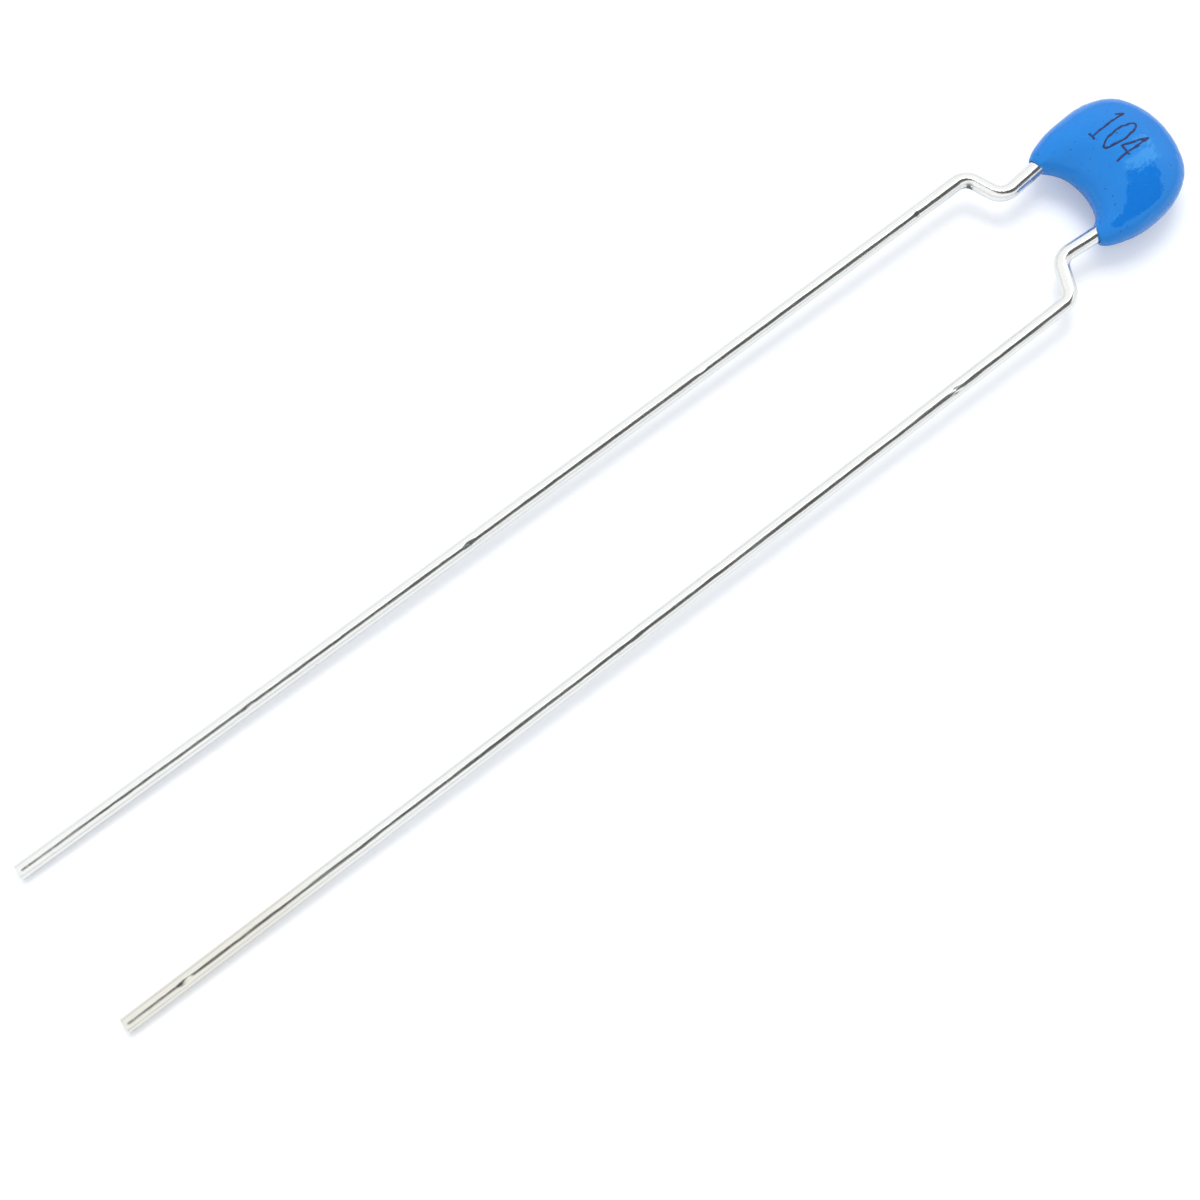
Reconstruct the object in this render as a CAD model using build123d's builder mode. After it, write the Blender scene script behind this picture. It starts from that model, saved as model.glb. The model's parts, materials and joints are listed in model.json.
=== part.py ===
from build123d import *
from math import atan2, cos, degrees, radians, sin, tan
import os

# Ceramic disc capacitor with two kinked wire leads, lying on its side. Millimetres.
# It is drawn straight: the leads run along X from their cut tips near X = 0 to the head,
# the disc lies in the XY plane, and the front of the part faces +Z. At the end all the
# pieces are tipped together until the tips of the leads and the head touch the ground.

# Wire leads
wire_diameter = 0.47
tip_spacing = 5.14            # between the lead axes at the cut tips
kink_spacing = 4.86           # between the lead axes where the kinks begin
root_spacing = 2.47           # between the lead axes just after the kinks
lead_reach = 33.79            # from the tips to the corner where the kinks end
tip_mismatch = 0.08           # the back lead is cut this much longer than the front one
front_kink_angle = 70.0       # slope of each kink, measured from the lead's own axis
back_kink_angle = 64.5
outer_bend_radius = 0.5       # at the corner where a kink begins, on the wire's axis
inner_bend_radius = 0.52      # at the corner where it ends
root_splay = 4.5              # degrees, by which the leads open again towards the head
landing_bend_radius = 0.5     # at the two bends inside the coating

# Ceramic disc and its silver faces
disc_diameter = 2.5
disc_thickness = 0.5
electrode_diameter = 2.1
electrode_thickness = 0.03

# Solder joints between the wire ends and the silver faces
solder_film = 0.03            # under the wire
solder_height = 0.42
solder_length = 1.25
solder_width = 0.7
solder_draft = 14.0           # degrees, the lean of the joint's flanks
solder_past_tip = 0.12        # solder beyond the end of the wire

# Where each wire runs over its silver face, measured from the disc's centre
landing_angle = 116.0         # degrees from +X to the point where the wire crosses the rim
landing_overhang = 0.06       # of that point past the rim
contact_reach = 0.6           # end of the wire along X
contact_offset = 0.25         # end of the wire along Y

# Dipped coating
head_width = 4.07
head_length = 3.19            # from the arch between the legs to the far end
end_cover = 0.3               # over the disc's rim at the far end
face_cover = 0.32             # over the wires on each face
rim_radius = 0.8              # of the rounded edge of the head
leg_length = 0.43             # from the arch to the tips of the legs
arch_radius = 1.82            # of the arch between the legs, seen from the front
leg_film = 0.05               # over the wire at the tip of a leg
root_run = 1.48               # bare wire between the kink's end and the leg tips
rise_start = 0.45             # from the leg tips to the point where the wires rise
arch_slope = 1.2              # how far the arch slopes back into the head at full height
shoulder_power = 3.5          # the outline stays wide, then turns in to the legs
thinning_power = 1.9          # the thickness falls away earlier than the width
tip_fullness = 0.97           # roundness of the leg tips' edges; 1 is a full half round
loft_stations = 8
run_on = 0.3                  # the loft runs past its last section and is trimmed there

# Places that follow from the sizes above
wire_radius = wire_diameter / 2
disc_radius = disc_diameter / 2
head_radius = head_width / 2
wire_height = disc_thickness / 2 + electrode_thickness + solder_film + wire_radius
half_thickness = wire_height + wire_radius + face_cover
leg_tip_x = lead_reach + root_run
leg_y = root_spacing / 2 + root_run * tan(radians(root_splay))
arch_x = leg_tip_x + leg_length
head_end_x = arch_x + head_length
head_x = head_end_x - head_radius
disc_x = head_end_x - end_cover - disc_radius
leg_half_span = leg_y + wire_radius + leg_film
leg_half_thickness = wire_radius + leg_film
tail_length = head_x - leg_tip_x
rim_fullness = rim_radius / half_thickness
arch_centre_x = arch_x - arch_radius


def crown_radius(half_width, half_height, rim):
    """Radius of the flat arc that meets both rim arcs smoothly."""
    return ((half_width - rim) ** 2 + half_height ** 2 - rim ** 2) / (2 * (half_height - rim))


def meeting_point(half_width, half_height, rim):
    """Point in the first quadrant where the flat arc meets the rim arc."""
    crown = crown_radius(half_width, half_height, rim)
    across = (half_width - rim) / (crown - rim)
    up = (crown - half_height) / (crown - rim)
    return (half_width - rim + rim * across, rim * up)


def oval(half_width, half_height, rim):
    """Four arcs of a closed oval: a flat arc above and below, a rim arc at each side."""
    meet_x, meet_y = meeting_point(half_width, half_height, rim)
    ThreePointArc((-meet_x, meet_y), (0, half_height), (meet_x, meet_y))
    ThreePointArc((meet_x, meet_y), (half_width, 0), (meet_x, -meet_y))
    ThreePointArc((meet_x, -meet_y), (0, -half_height), (-meet_x, -meet_y))
    ThreePointArc((-meet_x, -meet_y), (-half_width, 0), (-meet_x, meet_y))


def lead_points(side, kink_angle, tip_x):
    """Corners of one lead's axis; side is 1 for the front lead and -1 for the back one."""
    kink_run = (kink_spacing - root_spacing) / 2 / tan(radians(kink_angle))
    root_slope = tan(radians(root_splay))
    rise_x = leg_tip_x + rise_start
    rise_y = leg_y + rise_start * root_slope
    landing = disc_radius + landing_overhang
    landing_x = disc_x + landing * cos(radians(landing_angle))
    landing_y = landing * sin(radians(landing_angle))
    return [
        (tip_x, side * tip_spacing / 2, 0),
        (lead_reach - kink_run, side * kink_spacing / 2, 0),
        (lead_reach, side * root_spacing / 2, 0),
        (rise_x, side * rise_y, 0),
        (landing_x, side * landing_y, side * wire_height),
        (disc_x + contact_reach, side * contact_offset, side * wire_height),
    ]


front_points = lead_points(1, front_kink_angle, tip_mismatch / 2)
back_points = lead_points(-1, back_kink_angle, -tip_mismatch / 2)
bend_radii = [outer_bend_radius, inner_bend_radius, landing_bend_radius, landing_bend_radius]

# Lead on the front face, one length of round wire
with BuildPart() as lead_front:
    with BuildLine() as front_axis:
        FilletPolyline(*front_points, radius=bend_radii)
    with BuildSketch(Plane(origin=front_axis.line @ 0, z_dir=front_axis.line % 0)):
        Circle(wire_radius)
    sweep()

# Lead on the back face
with BuildPart() as lead_back:
    with BuildLine() as back_axis:
        FilletPolyline(*back_points, radius=bend_radii)
    with BuildSketch(Plane(origin=back_axis.line @ 0, z_dir=back_axis.line % 0)):
        Circle(wire_radius)
    sweep()

# Ceramic disc
with BuildPart() as ceramic_disc:
    with BuildSketch(Plane.XY.offset(-disc_thickness / 2)):
        with Locations((disc_x, 0)):
            Circle(disc_radius)
    extrude(amount=disc_thickness)

# Silver faces, fired onto the disc a little short of its rim
with BuildPart() as electrode_front:
    with BuildSketch(Plane.XY.offset(disc_thickness / 2)):
        with Locations((disc_x, 0)):
            Circle(electrode_diameter / 2)
    extrude(amount=electrode_thickness)

with BuildPart() as electrode_back:
    with BuildSketch(Plane.XY.offset(-disc_thickness / 2)):
        with Locations((disc_x, 0)):
            Circle(electrode_diameter / 2)
    extrude(amount=-electrode_thickness)

# Solder joints: a mound along the end of each wire, wrapped round the wire's cut end
contact_run = Vector(*front_points[-1]) - Vector(*front_points[-2])
contact_angle = degrees(atan2(contact_run.Y, contact_run.X))
mound_shift = contact_run.normalized() * (solder_past_tip - solder_length / 2)
mound_x = front_points[-1][0] + mound_shift.X
mound_y = front_points[-1][1] + mound_shift.Y
solder_base = disc_thickness / 2 + electrode_thickness

with BuildPart() as solder_front:
    with BuildSketch(Plane.XY.offset(solder_base)):
        with Locations(Location((mound_x, mound_y), contact_angle)):
            SlotOverall(solder_length, solder_width)
    extrude(amount=solder_height, taper=solder_draft)
    add(lead_front.part, mode=Mode.SUBTRACT)

with BuildPart() as solder_back:
    with BuildSketch(Plane.XY.offset(-solder_base)):
        with Locations(Location((mound_x, -mound_y), -contact_angle)):
            SlotOverall(solder_length, solder_width)
    extrude(amount=-solder_height, taper=solder_draft)
    add(lead_back.part, mode=Mode.SUBTRACT)

# Dipped coating. Its tail is a loft of ovals from the leg tips to the head's widest place,
# and its far end is half a revolve of the same oval, so the two meet without a step.
with BuildPart() as epoxy_coating:
    for station in range(-1, loft_stations):
        share = max(station, 0) / (loft_stations - 1)
        width = head_radius - (head_radius - leg_half_span) * share ** shoulder_power
        height = half_thickness - (half_thickness - leg_half_thickness) * share ** thinning_power
        fullness = rim_fullness + (tip_fullness - rim_fullness) * share
        station_x = head_x - share * tail_length + (run_on if station < 0 else 0)
        with BuildSketch(Plane.YZ.offset(station_x)):
            with BuildLine():
                oval(width, height, fullness * height)
            make_face()
    loft()
    split(bisect_by=Plane.YZ.offset(head_x), keep=Keep.BOTTOM)

    with BuildSketch(Plane.YZ.offset(head_x)):
        with BuildLine():
            oval(head_radius, half_thickness, rim_radius)
        make_face()
        split(bisect_by=Plane.YZ, keep=Keep.TOP)
    revolve(axis=Axis((head_x, 0, 0), (0, 0, -1)), revolution_arc=180)

    # The arch between the legs is turned out by a spool with a parabola for its profile,
    # so that the head slopes down to a thin, soft edge there
    with BuildSketch(Plane.XZ):
        with BuildLine():
            flare = Bezier(
                (arch_x + arch_slope, -half_thickness),
                (arch_x - arch_slope, 0),
                (arch_x + arch_slope, half_thickness),
            )
            Polyline(
                flare @ 1,
                (arch_centre_x, half_thickness),
                (arch_centre_x, -half_thickness),
                flare @ 0,
            )
        make_face()
    revolve(axis=Axis((arch_centre_x, 0, 0), (0, 0, 1)), mode=Mode.SUBTRACT)

    # What the coating is dipped over leaves its own shape inside
    for core in (ceramic_disc, electrode_front, electrode_back, solder_front, solder_back):
        add(core.part, mode=Mode.SUBTRACT)
    for lead in (lead_front, lead_back):
        add(lead.part, mode=Mode.SUBTRACT)

# Lying at rest: tipped about Y until the tips' lower edges are level with the head's crown
tilt = atan2(half_thickness - wire_radius, head_x)
tipped = Location((0, 0, 0), (0, -degrees(tilt), 0))

pieces = {
    "epoxy_coating": epoxy_coating,
    "ceramic_disc": ceramic_disc,
    "electrode_front": electrode_front,
    "electrode_back": electrode_back,
    "solder_front": solder_front,
    "solder_back": solder_back,
    "lead_front": lead_front,
    "lead_back": lead_back,
}
for piece in pieces.values():
    piece.part.move(tipped)

# The origin is at the middle of the bottom of the whole part
whole = Compound([piece.part for piece in pieces.values()]).bounding_box()
to_ground = Location((-whole.center().X, -whole.center().Y, -whole.min.Z))

os.makedirs("parts", exist_ok=True)
for name, piece in pieces.items():
    piece.part.move(to_ground)
    piece.part.label = name
    export_step(piece.part, f"parts/{name}.step")
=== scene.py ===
import json
import logging
import math
from dataclasses import dataclass
from enum import Enum
from functools import cached_property

import bmesh
import bpy
from mathutils import Matrix, Vector, noise
from mathutils.bvhtree import BVHTree


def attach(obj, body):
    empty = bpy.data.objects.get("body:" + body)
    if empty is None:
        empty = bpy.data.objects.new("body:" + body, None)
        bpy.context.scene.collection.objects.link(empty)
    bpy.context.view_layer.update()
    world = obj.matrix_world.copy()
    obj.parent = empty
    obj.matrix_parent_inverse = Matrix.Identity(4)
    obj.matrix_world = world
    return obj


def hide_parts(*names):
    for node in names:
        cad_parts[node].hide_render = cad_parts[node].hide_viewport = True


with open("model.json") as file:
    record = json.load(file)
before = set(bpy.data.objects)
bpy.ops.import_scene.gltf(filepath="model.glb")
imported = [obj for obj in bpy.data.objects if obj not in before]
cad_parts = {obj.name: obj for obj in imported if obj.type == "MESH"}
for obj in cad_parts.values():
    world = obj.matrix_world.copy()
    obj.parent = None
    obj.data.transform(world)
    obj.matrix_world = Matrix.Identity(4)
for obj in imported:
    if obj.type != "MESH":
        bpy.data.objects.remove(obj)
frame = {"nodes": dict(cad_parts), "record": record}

# Looks of a small dipped ceramic disc capacitor that lies on a pale table, built around
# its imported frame. Sizes are millimetres unless a name says otherwise; meshes are metres.

log = logging.getLogger("capacitor")

MM = 0.001
BODY = "root"
NOISE_SEED = 4
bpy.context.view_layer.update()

Colour = tuple[float, float, float]
Feed = bpy.types.NodeSocket | float | Colour
WHITE: Colour = (1.0, 1.0, 1.0)


class Side(Enum):
    """The two leads, by the face of the disc that each one serves."""

    FRONT = 1
    BACK = -1

    @property
    def word(self) -> str:
        """The side's name, as it stands in the names of nodes and mounts."""
        return self.name.lower()


# Bench work shared by the pieces


def deselect() -> None:
    """Leave edit mode and deselect everything."""
    if bpy.context.mode != "OBJECT":
        bpy.ops.object.mode_set(mode="OBJECT")
    bpy.ops.object.select_all(action="DESELECT")


def pick(piece: bpy.types.Object) -> None:
    """Make one object the only selected and the active one.

    Args:
        piece: The object to work on.
    """
    deselect()
    piece.select_set(True)
    bpy.context.view_layer.objects.active = piece


def added(name: str) -> bpy.types.Object:
    """Name the primitive that an operator has just added.

    Args:
        name: The new piece's name.

    Returns:
        The new object.
    """
    piece = bpy.context.active_object
    piece.name = name
    piece.data.name = name
    return piece


def settle(piece: bpy.types.Object) -> None:
    """Apply a piece's own place to its mesh, so that its object sits at the origin.

    Args:
        piece: The finished piece.
    """
    pick(piece)
    bpy.ops.object.transform_apply(location=True, rotation=True, scale=True)


def apply_all(piece: bpy.types.Object) -> None:
    """Apply every modifier on a piece, in order.

    Args:
        piece: The piece to finish.
    """
    pick(piece)
    for modifier in list(piece.modifiers):
        bpy.ops.object.modifier_apply(modifier=modifier.name)


def smooth_step(value: float) -> float:
    """Ease a share from 0 to 1.

    Args:
        value: The share, which may lie outside 0 to 1.

    Returns:
        The eased share.
    """
    value = min(max(value, 0.0), 1.0)
    return value * value * (3.0 - 2.0 * value)


# How the drawing of the part lies on the table


@dataclass(frozen=True)
class Posture:
    """Place of the straight drawing of the part, whose leads run along +X from x = 0.

    Attributes:
        tip_back: How far the drawing is tipped about Y, in radians.
        shift: How far it is moved after that, in millimetres.
    """

    tip_back: float
    shift: Vector

    @classmethod
    def from_mount(cls, mount: dict, straight_tip: Vector) -> "Posture":
        """Work the place out from a lead's mount.

        Args:
            mount: The record's row of the mount at a lead's end.
            straight_tip: The same lead's cut tip in the drawing.

        Returns:
            The posture.
        """
        outward = Vector(mount["axis"])
        tip_back = math.asin(-outward.z)
        half_run = mount["dims"]["length_mm"] / 2
        tip = Vector(mount["pos_m"]) / MM + outward.normalized() * half_run
        turned = Matrix.Rotation(-tip_back, 3, "Y") @ straight_tip
        return cls(tip_back, tip - turned)

    def place(self, point: Vector) -> Vector:
        """Move a point of the drawing to the table.

        Args:
            point: The point in the drawing, in millimetres.

        Returns:
            The point in the frame, in metres.
        """
        return (Matrix.Rotation(-self.tip_back, 3, "Y") @ point + self.shift) * MM

    def drawn(self, point: Vector) -> Vector:
        """Take a point of the frame back to the drawing.

        Args:
            point: The point in the frame, in metres.

        Returns:
            The point in the drawing, in millimetres.
        """
        return Matrix.Rotation(self.tip_back, 3, "Y") @ (point / MM - self.shift)


# Shader building blocks


class Graph:
    """A node tree with short ways to add and link nodes."""

    def __init__(self, tree: bpy.types.NodeTree) -> None:
        """Take hold of a tree.

        Args:
            tree: A material's, world's or group's node tree.
        """
        self.tree = tree

    def add(self, kind: str, inputs: dict | None = None, **settings: object) -> bpy.types.Node:
        """Add a node, set it up and link or set its inputs.

        Args:
            kind: The node's type name.
            inputs: Input names or indices, with a socket to link or a value to set.
            **settings: Properties of the node.

        Returns:
            The node.
        """
        node = self.tree.nodes.new(kind)
        for key, value in settings.items():
            setattr(node, key, value)
        for key, value in (inputs or {}).items():
            self.feed(node.inputs[key], value)
        return node

    def feed(self, socket: bpy.types.NodeSocket, value: Feed) -> None:
        """Link a socket to another one, or set its value.

        Args:
            socket: The input socket.
            value: An output socket, a number, or a colour or vector.
        """
        if isinstance(value, bpy.types.NodeSocket):
            self.tree.links.new(value, socket)
        elif isinstance(value, tuple) and len(value) == 3 and socket.type == "RGBA":
            socket.default_value = (*value, 1.0)
        else:
            socket.default_value = value

    def math(self, operation: str, *values: Feed, clamp: bool = False) -> bpy.types.NodeSocket:
        """Add a Math node.

        Args:
            operation: The node's operation.
            *values: Its inputs, as sockets or numbers.
            clamp: Whether the result is kept within 0 and 1.

        Returns:
            The result.
        """
        inputs = dict(enumerate(values))
        return self.add("ShaderNodeMath", inputs, operation=operation, use_clamp=clamp).outputs[0]

    def mix(self, factor: Feed, first: Feed, second: Feed) -> bpy.types.NodeSocket:
        """Mix two colours.

        Args:
            factor: The share of the second colour.
            first: A colour or socket.
            second: A colour or socket.

        Returns:
            The mixed colour.
        """
        node = self.add("ShaderNodeMix", data_type="RGBA")
        self.feed(node.inputs[0], factor)
        self.feed(node.inputs[6], first)
        self.feed(node.inputs[7], second)
        return node.outputs[2]

    def span(
        self, value: Feed, low: Feed, high: Feed, to_low: float = 0.0, to_high: float = 1.0
    ) -> bpy.types.NodeSocket:
        """Map a range smoothly to another one, and keep it within that.

        Args:
            value: The socket to map.
            low: Start of the range that comes in.
            high: Its end.
            to_low: Start of the range that goes out.
            to_high: Its end.

        Returns:
            The mapped value.
        """
        inputs = {0: value, 1: low, 2: high, 3: to_low, 4: to_high}
        return self.add("ShaderNodeMapRange", inputs, interpolation_type="SMOOTHSTEP").outputs[0]

    def millimetres(self) -> bpy.types.NodeSocket:
        """Give the point on the piece, in millimetres.

        Returns:
            The vector socket.
        """
        place = self.add("ShaderNodeTexCoord").outputs["Object"]
        scaled = self.add("ShaderNodeVectorMath", {0: place}, operation="SCALE")
        scaled.inputs["Scale"].default_value = 1.0 / MM
        return scaled.outputs[0]


class Group(Graph):
    """A shader node group being laid out.

    Attributes:
        entry: Sockets that bring the inputs in: a vector first, then the numbers.
        exit: Sockets that take the outputs.
    """

    def __init__(self, name: str, numbers: dict[str, float], outputs: list[str]) -> None:
        """Start a group that takes a vector and some numbers.

        Args:
            name: The group's name.
            numbers: Default of each number that comes in, by name.
            outputs: Names of the numbers that go out.
        """
        super().__init__(bpy.data.node_groups.new(name, "ShaderNodeTree"))
        sockets = self.tree.interface
        sockets.new_socket("Vector", in_out="INPUT", socket_type="NodeSocketVector")
        for label, default in numbers.items():
            socket = sockets.new_socket(label, in_out="INPUT", socket_type="NodeSocketFloat")
            socket.default_value = default
        for label in outputs:
            sockets.new_socket(label, in_out="OUTPUT", socket_type="NodeSocketFloat")
        self.entry = self.add("NodeGroupInput").outputs
        self.exit = self.add("NodeGroupOutput").inputs


def bare_graph(owner: bpy.types.Material | bpy.types.World) -> Graph:
    """Give a material or a world an empty node tree.

    Args:
        owner: The material or world.

    Returns:
        Its graph.
    """
    owner.use_nodes = True
    owner.node_tree.nodes.clear()
    return Graph(owner.node_tree)


class Effects:
    """Node groups that more than one finish uses. Each is built once, when first asked for."""

    SMALLEST_SPOT = 0.35
    SPOT_CORE = 0.7

    @cached_property
    def speckle(self) -> bpy.types.NodeTree:
        """Small round spots, thinly scattered.

        Returns:
            The group: its Mask is 1 in a spot, and Dip rises to 1 in the spot's middle.
        """
        group = Group("speckle", {"Density": 2.0, "Radius": 0.2, "Share": 0.3}, ["Mask", "Dip"])
        vector, density, radius, share = group.entry[:4]
        cells = group.add("ShaderNodeTexVoronoi", {"Vector": vector, "Scale": density})
        draw = group.add("ShaderNodeSeparateColor", {0: cells.outputs["Color"]}).outputs
        chosen = group.math("LESS_THAN", draw[0], share)
        size = group.math("MULTIPLY", radius, group.math("ADD", draw[1], self.SMALLEST_SPOT))
        near = group.math("DIVIDE", cells.outputs["Distance"], size)
        dip = group.math("SUBTRACT", 1.0, near, clamp=True)
        mask = group.span(near, 1.0, self.SPOT_CORE)
        group.feed(group.exit[0], group.math("MULTIPLY", mask, chosen))
        group.feed(group.exit[1], group.math("MULTIPLY", dip, chosen))
        return group.tree

    @cached_property
    def mottle(self) -> bpy.types.NodeTree:
        """Soft clouds with a set share and contrast.

        Returns:
            The group: its Mask runs from 0 to 1.
        """
        numbers = {"Scale": 1.0, "Detail": 3.0, "From": 0.35, "To": 0.65}
        group = Group("mottle", numbers, ["Mask"])
        vector, scale, detail, low, high = group.entry[:5]
        inputs = {"Vector": vector, "Scale": scale, "Detail": detail}
        clouds = group.add("ShaderNodeTexNoise", inputs).outputs[0]
        group.feed(group.exit[0], group.span(clouds, low, high))
        return group.tree

    @cached_property
    def drawn_lines(self) -> bpy.types.NodeTree:
        """Fine lines along X, as a drawing die leaves them on wire.

        Returns:
            The group: its Mask runs from 0 to 1 across the lines.
        """
        group = Group("drawn_lines", {"Density": 20.0, "Length": 4.0}, ["Mask"])
        vector, density, length = group.entry[:3]
        axes = group.add("ShaderNodeSeparateXYZ", {0: vector}).outputs
        along = group.math("DIVIDE", axes[0], group.math("MULTIPLY", density, length))
        bundle = group.add("ShaderNodeCombineXYZ", {0: along, 1: axes[1], 2: axes[2]}).outputs[0]
        inputs = {"Vector": bundle, "Scale": density, "Detail": 4.0, "Roughness": 0.65}
        lines = group.add("ShaderNodeTexNoise", inputs).outputs[0]
        group.feed(group.exit[0], group.span(lines, 0.3, 0.7))
        return group.tree


EFFECTS = Effects()


@dataclass(frozen=True)
class Spot:
    """A small place on the surface, in millimetres of the frame.

    Attributes:
        centre: Its middle.
        radius: How far it reaches.
        core: Share of the radius within which it is full.
    """

    centre: Vector
    radius: float
    core: float = 0.35


class Surface:
    """A material being laid out around one Principled shader."""

    def __init__(self, name: str) -> None:
        """Start a material.

        Args:
            name: The material's name.
        """
        self.material = bpy.data.materials.new(name)
        self.material.use_nodes = True
        self.graph = Graph(self.material.node_tree)
        self.shader = self.material.node_tree.nodes["Principled BSDF"]
        self.point = self.graph.millimetres()

    def effect(self, tree: bpy.types.NodeTree, **values: Feed) -> bpy.types.NodeOutputs:
        """Place a shared effect with its own values.

        Args:
            tree: The group.
            **values: Values or sockets for the group's inputs, by name.

        Returns:
            The effect's outputs.
        """
        node = self.graph.add("ShaderNodeGroup", node_tree=tree)
        self.graph.feed(node.inputs["Vector"], self.point)
        for label, value in values.items():
            self.graph.feed(node.inputs[label], value)
        return node.outputs

    def bump(
        self, height: Feed, depth_mm: float, below: bpy.types.NodeSocket | None = None
    ) -> bpy.types.NodeSocket:
        """Raise the surface by a height from 0 to 1.

        Args:
            height: The height's socket.
            depth_mm: How high 1 stands.
            below: The normal of a bump underneath, if there is one.

        Returns:
            The new normal.
        """
        node = self.graph.add("ShaderNodeBump", {"Height": height, "Distance": depth_mm * MM})
        if below is not None:
            self.graph.feed(node.inputs["Normal"], below)
        return node.outputs[0]

    def set(self, **values: Feed) -> None:
        """Set or link the shader's inputs.

        Args:
            **values: Values by socket name, with spaces written as underscores.
        """
        for label, value in values.items():
            self.graph.feed(self.shader.inputs[label.replace("_", " ")], value)

    def tint(self, tone: Feed, mask: Feed, share: Feed, colour: Colour) -> bpy.types.NodeSocket:
        """Lay a colour over part of the surface.

        Args:
            tone: The colour so far.
            mask: Where the new colour lies, from 0 to 1.
            share: How much of it lies there.
            colour: The new colour.

        Returns:
            The new tone.
        """
        return self.graph.mix(self.graph.math("MULTIPLY", mask, share), tone, colour)

    def near(self, spot: Spot) -> bpy.types.NodeSocket:
        """Mask of a spot, 1 in its core and 0 from its radius on.

        Args:
            spot: The spot.

        Returns:
            The mask.
        """
        inputs = {0: self.point, 1: tuple(spot.centre)}
        far = self.graph.add("ShaderNodeVectorMath", inputs, operation="DISTANCE").outputs["Value"]
        return self.graph.span(far, spot.radius, spot.radius * spot.core)


# Finishes


@dataclass(frozen=True)
class DippedResinFinish:
    """Glossy blue resin with small pits, specks and slight clouds.

    Attributes:
        blue: Its main colour.
        pale: The paler blue of its clouds.
        speck: The colour in a pit or a speck.
        gloss: The tint of its gloss.
        ior: Its index of refraction.
        polish: Roughness where the fine grain is low, and where it is high.
        pit_roughness: What a pit adds to it.
        wave_height: Height of the slow waves that the dip leaves, in millimetres.
        grain_height: Height of the fine grain.
        pit_depth: Depth of the pits and specks.
    """

    blue: Colour = (0.007, 0.178, 0.655)
    pale: Colour = (0.012, 0.205, 0.690)
    speck: Colour = (0.002, 0.060, 0.300)
    gloss: Colour = (0.36, 1.00, 0.90)
    ior: float = 1.7
    polish: tuple[float, float] = (0.05, 0.11)
    pit_roughness: float = 0.25
    wave_height: float = 0.012
    grain_height: float = 0.0012
    pit_depth: float = 0.02

    def material(self) -> bpy.types.Material:
        """Build the material.

        Returns:
            The material.
        """
        surface = Surface("dipped_blue_resin")
        graph = surface.graph
        clouds = surface.effect(EFFECTS.mottle, Scale=0.9, Detail=4.0, From=0.4, To=0.75)[0]
        grain = surface.effect(EFFECTS.mottle, Scale=9.0, Detail=3.0, From=0.3, To=0.7)[0]
        waves = surface.effect(EFFECTS.mottle, Scale=1.6, Detail=2.0, From=0.2, To=0.8)[0]
        pits = surface.effect(EFFECTS.speckle, Density=4.5, Radius=0.15, Share=0.10)
        dust = surface.effect(EFFECTS.speckle, Density=9.0, Radius=0.24, Share=0.16)
        tone = surface.tint(self.blue, clouds, share=0.55, colour=self.pale)
        tone = surface.tint(tone, grain, share=0.12, colour=self.pale)
        tone = surface.tint(tone, dust[0], share=0.65, colour=self.speck)
        tone = surface.tint(tone, pits[0], share=0.75, colour=self.speck)
        rough = graph.span(grain, 0.0, 1.0, *self.polish)
        rough = graph.math("ADD", rough, graph.math("MULTIPLY", pits[0], self.pit_roughness))
        hollow = graph.math("SUBTRACT", 1.0, graph.math("MAXIMUM", pits[1], dust[1]))
        normal = surface.bump(waves, self.wave_height)
        normal = surface.bump(grain, self.grain_height, normal)
        normal = surface.bump(hollow, self.pit_depth, normal)
        surface.set(Base_Color=tone, Roughness=rough, Normal=normal, IOR=self.ior)
        surface.set(Specular_Tint=self.gloss)
        return surface.material


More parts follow.
